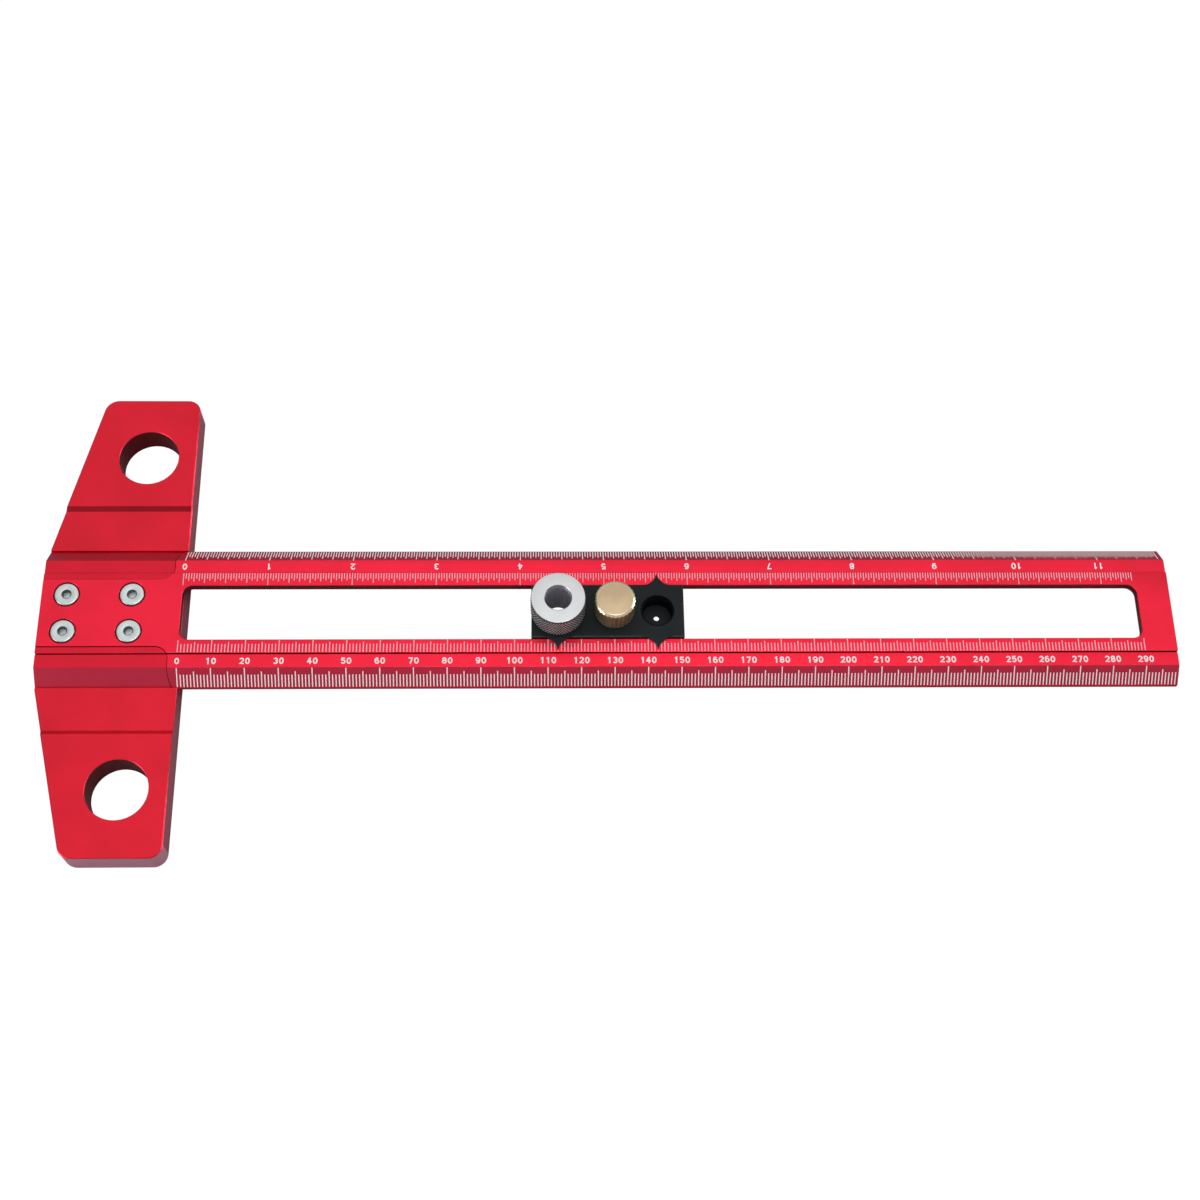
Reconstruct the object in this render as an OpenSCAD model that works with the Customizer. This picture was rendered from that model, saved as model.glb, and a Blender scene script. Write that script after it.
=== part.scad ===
// T-square with a sliding hole-positioning guide.
// Frame: X runs along the blade, away from the fence, so X = 0 is the fence face and the scale zero.
// Y is across the blade, with Y = 0 on its centre line. Z is up, with Z = 0 on the blade's underside,
// which lies on the work while the fence hangs below it.

/* [Blade] */
// Graduated length of the blade, from the fence face to its free end
blade_len = 300; // [200:10:400]
// Width of the blade over its two thin edges
blade_w = 45; // [44:0.5:52]
// Thickness of the blade at its raised rails
blade_t = 6; // [5.8:0.1:7]
// Height of the square land below each bevel
edge_t = 1.1; // [0.8:0.1:1.3]
// Width over the two numbered strips, between the tops of the bevels
strip_w = 35; // [34:0.5:36]
// Width over the two raised rails
rail_w = 26.2; // [25.6:0.1:27]
// Height of the rails above the numbered strips
rail_rise = 0.6; // [0.3:0.1:1]
// Width of the slot that the slider runs in
slot_w = 17.6; // [17:0.1:18]
// Length of the slot, from the fence face
slot_len = 290; // [190:10:390]
// Radius of the slot's corners
slot_r = 3; // [1:0.5:4]
// Width of the channel under the blade, for the clamp plate and the head's key
channel_w = 23; // [22:0.5:24]
// Thickness of the web above the channel
web_t = 3; // [2.8:0.1:3.2]
// Depth of the two shallow reliefs beside the screws
relief_depth = 0.3; // [0.1:0.1:0.5]
// Width of the land between the two reliefs
relief_gap = 21.8; // [21:0.1:23]

/* [Head] */
// Length of the head, along the fence
head_len = 150; // [130:5:180]
// Width of the head where it carries the blade
head_w = 42; // [40:1:46]
// Width of the head at the ends of its wings
tip_w = 29.2; // [28:0.1:34]
// Distance the fence hangs below the blade
fence_drop = 6.8; // [5:0.1:9]
// Height of the outer wings above the blade's underside
wing_top = 2.7; // [2.4:0.1:3]
// Height of the shoulders next to the blade above its underside
shoulder_top = 1.7; // [1.4:0.1:2]
// Width over the straight middle part of the head
waist = 46; // [45:0.5:50]
// Width over the two shoulders, at the foot of each slope
shoulder_w = 72; // [68:1:80]
// Run of the slope from a shoulder up to a wing
slope_run = 1.4; // [0.5:0.1:3]
// Radius of the two corners on the fence side of each wing
fence_corner_r = 4; // [2:0.5:6]
// Radius of the corners on the tapered side
back_corner_r = 4.5; // [2:0.5:6]
// Diameter of the two finger holes
finger_d = 18.4; // [14:0.2:20]
// Distance of the finger holes from the fence face
finger_inset = 14.7; // [13:0.1:16]
// Distance between the centres of the finger holes
finger_pitch = 108.8; // [104:0.2:112]

/* [Blade screws] */
// Distance between the screws along the blade
screw_pitch_x = 19.5; // [16:0.5:22]
// Distance between the screws across the blade
screw_pitch_y = 12; // [11:0.5:13]
// Distance of the nearer pair from the fence face
screw_inset = 15; // [12:1:17]
// Diameter of the thin screw heads
screw_head_d = 7.2; // [6.8:0.1:7.4]
// Thickness of the screw heads
screw_head_t = 1.3; // [1:0.1:1.4]
// Length of the screws under the head
screw_len = 7; // [5:0.5:8]

/* [Slider] */
// Scale reading at the drill guide's axis
guide_reading = 113; // [11:1:248]
// Distance from the drill guide to the spare hole
hole_pitch = 30; // [29:1:32]
// Distance from the drill guide to the lock knob
knob_offset = 17; // [16.8:0.1:17.4]
// Length of the slider past the axis of each hole
slider_end = 8; // [7.5:0.5:9]
// Height of the slider's top above the rails
slider_rise = 0.85; // [0.7:0.05:1.2]
// Distance of the pointer tips from the centre line
pointer_reach = 12.6; // [12:0.1:13]
// Radius of the hollow flanks of the pointers
flank_r = 5; // [4.5:0.1:5.5]
// Diameter of the threaded holes for the drill guide
guide_thread_d = 9.9; // [9.6:0.1:10]
// Diameter of the pilot hole under the spare hole
pilot_d = 1.7; // [1:0.1:3]

/* [Drill guide] */
// Diameter of the knurled collar
collar_d = 16.5; // [15:0.1:16.6]
// Height of the knurled collar
collar_h = 9.6; // [8:0.1:12]
// Bore of the steel liner
guide_bore_d = 7.8; // [6:0.1:8.3]

/* [Lock knob] */
// Diameter of the brass knob
knob_d = 12.2; // [11:0.1:12.4]
// Height of the brass knob
knob_h = 8.7; // [7:0.1:10]
// Diameter of the threaded stud
stud_d = 4; // [3:0.5:4]
// Diameter of the thin washer let into the slider
washer_d = 8.8; // [8:0.1:10]

/* [Hidden] */
$fn = 96;

strip_z = blade_t - rail_rise;              // level of the numbered strips
seat_t = 0.05;                              // the blade's seat in the head stands this far below Z = 0
over = 1;                                   // cutters run this far past what they cut
flat_gap = 0.05;                            // gap between flat faces that only touch in use
fit_gap = 0.05;                             // radial clearance of a running fit
slot_gap = 0.15;                            // clearance of the slider in the slot, each side
slider_top = blade_t + slider_rise;
slider_foot = 0.15;                         // the slider's foot clears the work by this much
slider_x0 = guide_reading - slider_end;
slider_len = hole_pitch + 2 * slider_end;
slider_w = slot_w - 2 * slot_gap;
slider_edge = 0.35;                         // chamfer along the slider's two long top edges
tip_t = 0.25;                               // height of a pointer's tip above the rail
spare_x = guide_reading + hole_pitch;
knob_x = guide_reading + knob_offset;
pilot_web = 0.8;                            // floor left under the spare hole
plate_len = 12;                             // clamp plate, along the slot
plate_w = channel_w - 0.6;
plate_t = 2.4;
notch_gap = 0.4;                            // room for the plate in the slider's notch, each end
notch_z = web_t + 0.8;                      // ceiling of that notch, clear of the plate
plate_top = web_t - flat_gap;
washer_t = 0.5;
shank_d = 4;                                // blade screw shank
shank_hole_d = 4.4;
head_gap = 0.35;                            // gap round a screw head in its counterbore
head_proud = 0.1;                           // screw heads stand this far above the rails
hex_af = 2.5;                               // hexagon socket, across flats
hex_depth = 1.7;
relief_r = 4;                               // cutter radius at the end of a relief
relief_x = -6.8;                            // X of that cutter's centre
mouth_edge = 0.25;                          // chamfer at the mouth of the drill guide
liner_d = guide_thread_d - 2 * fit_gap;
collar_lip = 1;                             // lip of the collar over the liner
collar_z = slider_top + flat_gap;
liner_top = collar_z + collar_h - collar_lip - flat_gap;
knob_edge = 0.4;                            // chamfer round the knob's foot
crown_w = 0.95;                             // width of the bright ring round the knob's flat top
crown_h = 0.6;                              // drop of that ring
collar_edge = 0.3;

blade_red = [0.90, 0.13, 0.22];
head_red = [0.84, 0.12, 0.20];
black_anodise = [0.15, 0.18, 0.19];
bright_steel = [0.80, 0.81, 0.83];

// A box given by its lowest corner and its highest corner
module span(low, high) {
    translate(low) cube(high - low);
}

// ---------------------------------------------------------------- blade

// Cross-section of the blade in the Y-Z plane, open channel included
module blade_profile() {
    half = [[channel_w / 2, web_t], [channel_w / 2, 0], [blade_w / 2, 0], [blade_w / 2, edge_t],
            [strip_w / 2, strip_z], [rail_w / 2, strip_z], [rail_w / 2, blade_t]];
    n = len(half);
    polygon(concat(half, [for (i = [n - 1:-1:0]) [-half[i][0], half[i][1]]]));
}

// The slot's outline with true round corners, cut through
module slot_cutter() {
    translate([0, 0, -over]) {
        span([slot_r, -slot_w / 2, 0], [slot_len - slot_r, slot_w / 2, blade_t + 2 * over]);
        span([0, -slot_w / 2 + slot_r, 0], [slot_len, slot_w / 2 - slot_r, blade_t + 2 * over]);
        for (x = [slot_r, slot_len - slot_r], y = [-1, 1])
            translate([x, y * (slot_w / 2 - slot_r), 0]) cylinder(r = slot_r, h = blade_t + 2 * over);
    }
}

// One shallow relief beside the screws: it runs in from the back and ends in the cutter's radius
module relief_cutter(side) {
    reach = relief_gap / 2 + relief_r;
    mirror([0, side < 0 ? 1 : 0, 0]) translate([0, 0, blade_t - relief_depth]) {
        span([-head_w - over, relief_gap / 2, 0], [relief_x, reach, over]);
        translate([relief_x, reach, 0]) cylinder(r = relief_r, h = over);
    }
}

// Centres of the four blade screws, numbered from the fence side
function screw_place(i) = [-screw_inset - (i > 1 ? screw_pitch_x : 0),
                           (i % 2 == 0 ? 1 : -1) * screw_pitch_y / 2, 0];

module blade() {
    head_seat = blade_t + head_proud - screw_head_t;
    color(blade_red) difference() {
        union() {
            translate([-head_w, 0, 0]) rotate([90, 0, 90]) linear_extrude(height = head_w + blade_len)
                blade_profile();
            for (side = [0, 1]) mirror([0, side, 0])
                span([-head_w, channel_w / 2, -seat_t], [0, blade_w / 2, edge_t / 2]);
        }
        slot_cutter();
        relief_cutter(1);
        relief_cutter(-1);
        for (i = [0:3]) translate(screw_place(i)) {
            cylinder(d = shank_hole_d, h = blade_t + over);
            translate([0, 0, head_seat - flat_gap])
                cylinder(d = screw_head_d + 2 * head_gap, h = screw_head_t + over);
        }
    }
}

// ---------------------------------------------------------------- head

// Angle by which the back of a wing tapers towards the fence
taper = atan((head_w - tip_w) / (head_len / 2 - waist / 2));

// Half of the head's outline, for Y > 0. Each rounded corner is a circle on a cut-off polygon.
module wing_outline() {
    end_y = head_len / 2;
    back_turn = back_corner_r * tan((90 - taper) / 2);
    // centre of the corner on the tapered side
    back_c = [-tip_w + back_turn, end_y - back_corner_r];
    back_side = back_c + back_corner_r * [-cos(taper), sin(taper)];
    polygon([[0, -over], [0, end_y - fence_corner_r], [-fence_corner_r, end_y],
             [back_c[0], end_y], back_side, [-head_w, waist / 2], [-head_w, -over]]);
    translate([-fence_corner_r, end_y - fence_corner_r]) circle(r = fence_corner_r);
    translate(back_c) circle(r = back_corner_r);
}

// What the mill takes off above the shoulders, as a Y-Z profile run along X
module shoulder_cutter() {
    foot = shoulder_w / 2;
    rise = wing_top - shoulder_top;
    top = foot + slope_run * (rise + over) / rise;
    translate([-head_w - over, 0, 0]) rotate([90, 0, 90]) linear_extrude(height = head_w + 2 * over)
        polygon([[-foot, shoulder_top], [foot, shoulder_top], [top, wing_top + over],
                 [-top, wing_top + over]]);
}

module head() {
    key_w = channel_w - 2 * flat_gap;
    color(head_red) difference() {
        union() {
            difference() {
                translate([0, 0, -fence_drop]) linear_extrude(height = fence_drop + wing_top) {
                    wing_outline();
                    mirror([0, 1, 0]) wing_outline();
                }
                shoulder_cutter();
                span([-head_w - over, -blade_w / 2 - flat_gap, -seat_t],
                     [over, blade_w / 2 + flat_gap, wing_top + over]);
            }
            // key that fills the blade's channel
            span([-head_w, -key_w / 2, -over], [0, key_w / 2, web_t - flat_gap]);
        }
        for (side = [-1, 1]) translate([-finger_inset, side * finger_pitch / 2, -fence_drop - over])
            cylinder(d = finger_d, h = fence_drop + wing_top + 2 * over);
        for (i = [0:3]) translate(screw_place(i) + [0, 0, web_t - screw_len])
            cylinder(d = shank_d + 2 * fit_gap, h = screw_len + over);
    }
}

// ---------------------------------------------------------------- blade screws

module blade_screw(i) {
    seat = blade_t + head_proud - screw_head_t;
    edge = 0.25;
    color(bright_steel) translate(screw_place(i) + [0, 0, seat]) difference() {
        union() {
            cylinder(d = screw_head_d, h = screw_head_t - edge);
            translate([0, 0, screw_head_t - edge])
                cylinder(d1 = screw_head_d, d2 = screw_head_d - 2 * edge, h = edge);
            translate([0, 0, -screw_len]) cylinder(d = shank_d, h = screw_len + edge);
        }
        translate([0, 0, screw_head_t - hex_depth])
            cylinder(d = hex_af / cos(30), h = hex_depth + over, $fn = 6);
    }
}

module blade_screw_1() { blade_screw(0); }
module blade_screw_2() { blade_screw(1); }
module blade_screw_3() { blade_screw(2); }
module blade_screw_4() { blade_screw(3); }

// ---------------------------------------------------------------- slider

// A pair of pointers across the slider: two hollow-flanked points that meet the rails
module pointer_pair() {
    root = slider_w / 2 - slider_edge;
    rise = pointer_reach - root;
    // half width at the root of a flank that is tangent to the slider's side
    half = sqrt(pow(flank_r, 2) - pow(flank_r - rise, 2));
    for (side = [0, 1]) mirror([0, side, 0]) difference() {
        translate([0, 0, blade_t + flat_gap]) linear_extrude(height = slider_rise - flat_gap)
            difference() {
                polygon([[-half, 0], [half, 0], [half, root], [0, pointer_reach], [-half, root]]);
                for (x = [-half, half]) translate([x, root + flank_r]) circle(r = flank_r);
            }
        // the top slopes down to a thin tip
        translate([-flank_r - over, slider_w / 2, slider_top])
            rotate([-atan((slider_rise - tip_t) / (pointer_reach - slider_w / 2)), 0, 0])
                cube([2 * (flank_r + over), flank_r + over, over]);
    }
}
// The part of the slider that fills the slot, its long top edges chamfered
module slider_block() {
    w = slider_w / 2;
    top = slider_top;
    translate([slider_x0, 0, 0]) rotate([90, 0, 90]) linear_extrude(height = slider_len)
        polygon([[-w, slider_foot], [w, slider_foot], [w, top - slider_edge],
                 [w - slider_edge, top], [slider_edge - w, top], [-w, top - slider_edge]]);
}

module slider_body() {
    notch = plate_len / 2 + notch_gap;
    color(black_anodise) difference() {
        union() {
            slider_block();
            for (x = [guide_reading, spare_x]) translate([x, 0, 0]) pointer_pair();
        }
        // notch that traps the clamp plate
        span([knob_x - notch, -slot_w, -over], [knob_x + notch, slot_w, notch_z]);
        // threaded hole for the drill guide, right through
        translate([guide_reading, 0, -over]) cylinder(d = guide_thread_d, h = slider_top + 2 * over);
        // spare hole with a pilot hole in its floor
        translate([spare_x, 0, slider_foot + pilot_web]) cylinder(d = guide_thread_d, h = slider_top);
        translate([spare_x, 0, -over]) cylinder(d = pilot_d, h = slider_top);
        // stud hole and washer seat
        translate([knob_x, 0, 0]) cylinder(d = stud_d + 4 * fit_gap, h = slider_top + over);
        translate([knob_x, 0, slider_top - washer_t]) cylinder(d = washer_d + 2 * fit_gap, h = washer_t + over);
    }
}

module clamp_plate() {
    color("silver") difference() {
        span([knob_x - plate_len / 2, -plate_w / 2, plate_top - plate_t],
             [knob_x + plate_len / 2, plate_w / 2, plate_top]);
        translate([knob_x, 0, -over]) cylinder(d = stud_d + 2 * fit_gap, h = blade_t);
    }
}

// ---------------------------------------------------------------- lock knob

knob_z = slider_top + flat_gap;
stud_socket = 6;                            // depth of the stud inside the knob

module lock_knob() {
    color([0.80, 0.66, 0.42]) translate([knob_x, 0, knob_z]) difference() {
        rotate_extrude() polygon([[0, 0], [knob_d / 2 - knob_edge, 0], [knob_d / 2, knob_edge],
                                  [knob_d / 2, knob_h - crown_h], [knob_d / 2 - crown_w, knob_h],
                                  [0, knob_h]]);
        translate([0, 0, -over]) cylinder(d = stud_d, h = stud_socket + over);
    }
}

module lock_stud() {
    foot = plate_top - plate_t;
    color("silver") translate([knob_x, 0, foot]) cylinder(d = stud_d, h = knob_z + stud_socket - foot);
}

module knob_washer() {
    color("ivory") translate([knob_x, 0, slider_top - washer_t]) difference() {
        cylinder(d = washer_d, h = washer_t);
        translate([0, 0, -over]) cylinder(d = stud_d + 4 * fit_gap, h = washer_t + 2 * over);
    }
}

// ---------------------------------------------------------------- drill guide

module guide_collar() {
    r = collar_d / 2;
    seat_r = liner_d / 2 + fit_gap;
    bore_r = guide_bore_d / 2;
    color([0.76, 0.76, 0.77]) translate([guide_reading, 0, collar_z]) rotate_extrude()
        polygon([[seat_r, 0], [r - collar_edge, 0], [r, collar_edge], [r, collar_h - collar_edge],
                 [r - collar_edge, collar_h], [bore_r + mouth_edge, collar_h],
                 [bore_r, collar_h - mouth_edge], [bore_r, collar_h - collar_lip],
                 [seat_r, collar_h - collar_lip]]);
}

module guide_liner() {
    foot = slider_foot;
    color([0.55, 0.56, 0.58]) translate([guide_reading, 0, foot]) difference() {
        cylinder(d = liner_d, h = liner_top - foot);
        translate([0, 0, -over]) cylinder(d = guide_bore_d, h = liner_top + 2 * over);
    }
}

head();
blade();
blade_screw_1();
blade_screw_2();
blade_screw_3();
blade_screw_4();
slider_body();
clamp_plate();
lock_knob();
lock_stud();
knob_washer();
guide_collar();
guide_liner();
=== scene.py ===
import math

import bmesh
import bpy
from mathutils import Matrix, Vector


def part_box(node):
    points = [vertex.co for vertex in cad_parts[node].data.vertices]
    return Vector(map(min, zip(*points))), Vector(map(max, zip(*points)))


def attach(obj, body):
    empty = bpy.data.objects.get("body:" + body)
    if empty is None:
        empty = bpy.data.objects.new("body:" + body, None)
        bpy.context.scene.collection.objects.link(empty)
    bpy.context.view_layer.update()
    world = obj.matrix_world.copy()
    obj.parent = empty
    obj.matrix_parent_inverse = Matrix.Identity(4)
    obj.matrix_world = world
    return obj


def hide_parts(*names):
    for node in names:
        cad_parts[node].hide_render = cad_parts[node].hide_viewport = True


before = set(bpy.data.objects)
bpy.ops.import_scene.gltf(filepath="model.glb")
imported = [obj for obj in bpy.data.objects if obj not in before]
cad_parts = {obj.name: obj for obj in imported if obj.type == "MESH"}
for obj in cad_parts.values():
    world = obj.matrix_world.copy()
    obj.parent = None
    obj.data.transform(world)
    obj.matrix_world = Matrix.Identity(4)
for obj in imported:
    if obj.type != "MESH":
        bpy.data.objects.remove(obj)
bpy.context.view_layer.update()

# All mesh code below works in millimetres. make_piece() turns a finished mesh into metres.
MM = 0.001
# Material slots. A piece with fewer materials than slots has its last material on the rest of them.
SURFACE, EDGE, WALL, MILLED, BEVEL, EXTRA = range(6)


def box_mm(node):
    low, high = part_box(node)
    return low / MM, high / MM


def centre_mm(node):
    low, high = box_mm(node)
    return (low + high) / 2


# ------------------------------------------------------------------ mesh tools

def oval(x, y, rx, ry, start, end, steps=16):
    """Points of an oval's edge from start to end degrees, both ends included."""
    angles = [math.radians(start + (end - start) * i / steps) for i in range(steps + 1)]
    return [Vector((x + rx * math.cos(a), y + ry * math.sin(a))) for a in angles]


def arc(centre, radius, start, end, steps):
    return oval(*centre, radius, radius, start, end, steps)


def eased(points, radii, steps=2):
    """A closed outline with corner i rounded to radii[i], and for each of its sides whether it is part of
    such a corner."""
    out, corner = [], []
    count = len(points)
    for i, point in enumerate(points):
        here, before, after = Vector(point), Vector(points[i - 1]), Vector(points[(i + 1) % count])
        if not radii[i]:
            out.append(here)
            corner.append(False)
            continue
        back, ahead = (before - here).normalized(), (after - here).normalized()
        half = back.angle(ahead) / 2
        middle = here + (back + ahead).normalized() * (radii[i] / math.sin(half))
        first = here + back * (radii[i] / math.tan(half)) - middle
        last = here + ahead * (radii[i] / math.tan(half)) - middle
        begin, sweep = math.atan2(first.y, first.x), -first.angle_signed(last)
        for k in range(steps + 1):
            angle = begin + sweep * k / steps
            out.append(middle + radii[i] * Vector((math.cos(angle), math.sin(angle))))
            corner.append(k < steps)
    return out, corner


def grown(points, amount):
    """The outline with every side moved outwards by amount. Its points run anticlockwise."""
    out = []
    count = len(points)
    for i, point in enumerate(points):
        into = (point - points[i - 1]).normalized()
        away = (points[(i + 1) % count] - point).normalized()
        n1, n2 = Vector((into.y, -into.x)), Vector((away.y, -away.x))
        out.append(point + (n1 + n2) * (amount / (1 + n1.dot(n2))))
    return out


def loft(bm, rings, band_slots, side_slots=None, caps=(True, True)):
    """Skins a list of rings of points. band_slots gives the material of each band between two rings, and
    side_slots, where it isn't None, the material of each side of the ring in the plain bands."""
    rows = [[bm.verts.new(p) for p in ring] for ring in rings]
    count = len(rows[0])
    for band, (low, high) in enumerate(zip(rows, rows[1:])):
        for i in range(count):
            j = (i + 1) % count
            face = bm.faces.new((low[i], low[j], high[j], high[i]))
            face.material_index = band_slots[band]
            if side_slots and side_slots[i] and band_slots[band] == SURFACE:
                face.material_index = side_slots[i]
    if caps[0]:
        bm.faces.new(list(reversed(rows[0])))
    if caps[1]:
        bm.faces.new(rows[-1])
    return rows


def spun(bm, profile, slots, centre=(0, 0), steps=96):
    """Turns a profile of (radius, height) points about the vertical through centre. Side i of the profile
    has material slots[i]. A profile whose first and last points aren't on the axis closes on itself."""
    closed = profile[0][0] > 0
    rows = []
    for radius, z in profile:
        if radius == 0:
            rows.append([bm.verts.new((centre[0], centre[1], z))])
            continue
        turn = [2 * math.pi * i / steps for i in range(steps)]
        rows.append([bm.verts.new((centre[0] + radius * math.cos(a), centre[1] + radius * math.sin(a), z))
                     for a in turn])
    pairs = list(zip(rows, rows[1:])) + ([(rows[-1], rows[0])] if closed else [])
    for side, (low, high) in enumerate(pairs):
        for i in range(steps):
            j = (i + 1) % steps
            ring = [low[i % len(low)], low[j % len(low)], high[j % len(high)], high[i % len(high)]]
            face = bm.faces.new([v for k, v in enumerate(ring) if v not in ring[:k]])
            face.material_index = slots[side]


def block(bm, low, high, slot=WALL):
    """A closed box, for cutting with."""
    (x0, y0, z0), (x1, y1, z1) = low, high
    loft(bm, [[(x0, y0, z), (x1, y0, z), (x1, y1, z), (x0, y1, z)] for z in (z0, z1)], [slot])


def to_mesh(bm, name):
    bmesh.ops.recalc_face_normals(bm, faces=bm.faces)
    mesh = bpy.data.meshes.new(name)
    bm.to_mesh(mesh)
    bm.free()
    return mesh


def combine(mesh, others, operation):
    """mesh with others cut from it (DIFFERENCE) or added to it (UNION), one after the other."""
    for other in others:
        body = bpy.data.objects.new("body", mesh)
        tool = bpy.data.objects.new("tool", other)
        for ob in (body, tool):
            bpy.context.scene.collection.objects.link(ob)
            while len(ob.data.materials) <= EXTRA:
                ob.data.materials.append(None)
        step = body.modifiers.new("step", "BOOLEAN")
        step.operation, step.solver, step.object = operation, "EXACT", tool
        graph = bpy.context.evaluated_depsgraph_get()
        result = bpy.data.meshes.new_from_object(body.evaluated_get(graph), depsgraph=graph)
        for ob in (body, tool):
            bpy.data.objects.remove(ob)
        bpy.data.meshes.remove(mesh)
        mesh = result
    return mesh


def make_piece(name, mesh, body, materials, replaces=(), smooth_under=32):
    """Turns a finished mesh into metres, gives it its materials, and lets it ride on a body."""
    mesh.transform(Matrix.Scale(MM, 4))
    mesh.name = name
    slots = [face.material_index for face in mesh.polygons]       # clear() would set them all to 0
    mesh.materials.clear()
    for material in materials:
        mesh.materials.append(material)
    for face, here in zip(mesh.polygons, slots):
        face.use_smooth = True
        face.material_index = min(here, len(materials) - 1)
    mesh.set_sharp_from_angle(angle=math.radians(smooth_under))
    mesh.validate()
    piece = bpy.data.objects.new(name, mesh)
    bpy.context.scene.collection.objects.link(piece)
    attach(piece, body)
    if replaces:
        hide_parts(*replaces)
    return piece


# ------------------------------------------------------------------ materials

class Nodes:
    """A short way to write a material's nodes. Textures read the piece's own coordinates, in metres."""

    def __init__(self, name):
        self.material = bpy.data.materials.new(name)
        self.material.use_nodes = True
        self.tree = self.material.node_tree
        self.shader = self.tree.nodes["Principled BSDF"]
        self.place = self.tree.nodes.new("ShaderNodeTexCoord").outputs["Object"]

    def feed(self, socket, value):
        """Links another node's output to a socket, or sets a constant on it. A colour gets its alpha."""
        if isinstance(value, bpy.types.NodeSocket):
            self.tree.links.new(value, socket)
        else:
            socket.default_value = (*value, 1) if socket.type == "RGBA" else value

    def add(self, kind, inputs, out=0, **settings):
        node = self.tree.nodes.new("ShaderNode" + kind)
        for key, value in settings.items():
            setattr(node, key, value)
        for key, value in inputs.items():
            self.feed(node.inputs[key], value)
        return node.outputs[out]

    def radius(self, centre):
        """Distance of a point from the vertical axis through centre, in metres."""
        place = self.add("VectorMath", {0: self.place, 1: (centre[0] * MM, centre[1] * MM, 0)},
                         operation="SUBTRACT")
        flat = self.add("VectorMath", {0: place, 1: (1, 1, 0)}, operation="MULTIPLY")
        return self.add("VectorMath", {0: flat}, out="Value", operation="LENGTH")

    def noise(self, size_mm, detail=2.0, rough=0.5, stretch=(1, 1, 1)):
        """Noise from 0 to 1 whose blobs are about size_mm across."""
        place = self.add("Mapping", {"Vector": self.place, "Scale": stretch})
        return self.add("TexNoise", {"Vector": place, "Scale": 1 / (size_mm * MM), "Detail": detail,
                                     "Roughness": rough})

    def span(self, value, low, high, from_low=0.0, from_high=1.0):
        return self.add("MapRange", {"Value": value, "From Min": from_low, "From Max": from_high,
                                     "To Min": low, "To Max": high})

    def blend(self, share, first, second):
        """A colour between two. The Mix node's colour sockets are 6 and 7, and its colour output is 2."""
        return self.add("Mix", {0: share, 6: first, 7: second}, out=2, data_type="RGBA")

    def math(self, operation, first, second=0.0):
        return self.add("Math", {0: first, 1: second}, operation=operation)

    def bump(self, height, depth_mm, normal=None):
        inputs = {"Height": height, "Strength": 1.0, "Distance": depth_mm * MM}
        if normal is not None:
            inputs["Normal"] = normal
        return self.add("Bump", inputs)

    def finish(self, color, roughness, normal=None, **constants):
        for key, value in (("Base Color", color), ("Roughness", roughness), ("Normal", normal)):
            if value is not None:
                self.feed(self.shader.inputs[key], value)
        for key, value in constants.items():
            self.shader.inputs[key.replace("_", " ").title().replace("Ior", "IOR")].default_value = value
        return self.material


def anodised(name, tone, dark, metallic, rough, coat=0.3, specular=0.5):
    """Blasted and dyed aluminium: a fine even grain, with faint clouds in the dye."""
    grain = 0.012
    n = Nodes(name)
    clouds = n.noise(14, 3)
    fine = n.noise(0.16, 2, 0.6)
    coarse = n.noise(0.55, 2)
    share = n.math("ADD", n.span(clouds, 0, 0.55, 0.3, 0.7), n.span(fine, -0.12, 0.3, 0.3, 0.7))
    color = n.blend(share, tone, dark)
    roughness = n.span(coarse, rough - 0.05, rough + 0.06, 0.3, 0.7)
    normal = n.bump(coarse, grain, n.bump(fine, grain))
    return n.finish(color, roughness, normal, metallic=metallic, coat_weight=coat, coat_roughness=0.4,
                    specular_ior_level=specular)


def edge_worn(name, tone, bare_and_highlit, metallic, rough):
    """An eased edge, where the dye is thinner and rubbed. Its lighter patches are also a painted highlight
    along the edge.
    """
    n = Nodes(name)
    patches = n.noise(3, 4, 0.6, stretch=(0.3, 1, 1))
    fine = n.noise(0.12, 2)
    color = n.blend(n.span(patches, 0, 0.8, 0.45, 0.75), tone, bare_and_highlit)
    roughness = n.span(fine, rough - 0.06, rough + 0.08, 0.3, 0.7)
    return n.finish(color, roughness, n.bump(fine, 0.006), metallic=metallic)


def turned(name, tone, dark, centre, rough, pitch_mm=0.22, depth=0.006, metallic=1.0):
    """Metal off the lathe: fine rings about a vertical axis through centre."""
    n = Nodes(name)
    radius = n.radius(centre)
    wobble = n.noise(0.9, 2)
    phase = n.math("ADD", n.math("MULTIPLY", radius, 2 * math.pi / (pitch_mm * MM)),
                   n.math("MULTIPLY", wobble, 2.0))
    rings = n.span(n.math("SINE", phase), 0, 1, -1, 1)
    fine = n.noise(0.15, 2)
    clouds = n.noise(4, 3)
    share = n.math("ADD", n.math("MULTIPLY", rings, 0.08), n.span(clouds, 0, 0.5, 0.3, 0.7))
    color = n.blend(share, tone, dark)
    roughness = n.math("ADD", n.math("MULTIPLY", rings, 0.05),
                       n.span(fine, rough - 0.04, rough + 0.05, 0.3, 0.7))
    normal = n.bump(fine, depth * 0.6, n.bump(rings, depth))
    return n.finish(color, roughness, normal, metallic=metallic)


def milled(name, tone, dark, rough, metallic=1.0):
    """Plain bright metal with a fine random grain."""
    n = Nodes(name)
    fine = n.noise(0.14, 3, 0.6)
    clouds = n.noise(2.5, 3)
    color = n.blend(n.span(clouds, 0, 1, 0.3, 0.7), tone, dark)
    return n.finish(color, n.span(fine, rough - 0.06, rough + 0.08, 0.3, 0.7), n.bump(fine, 0.006),
                    metallic=metallic)


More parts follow.
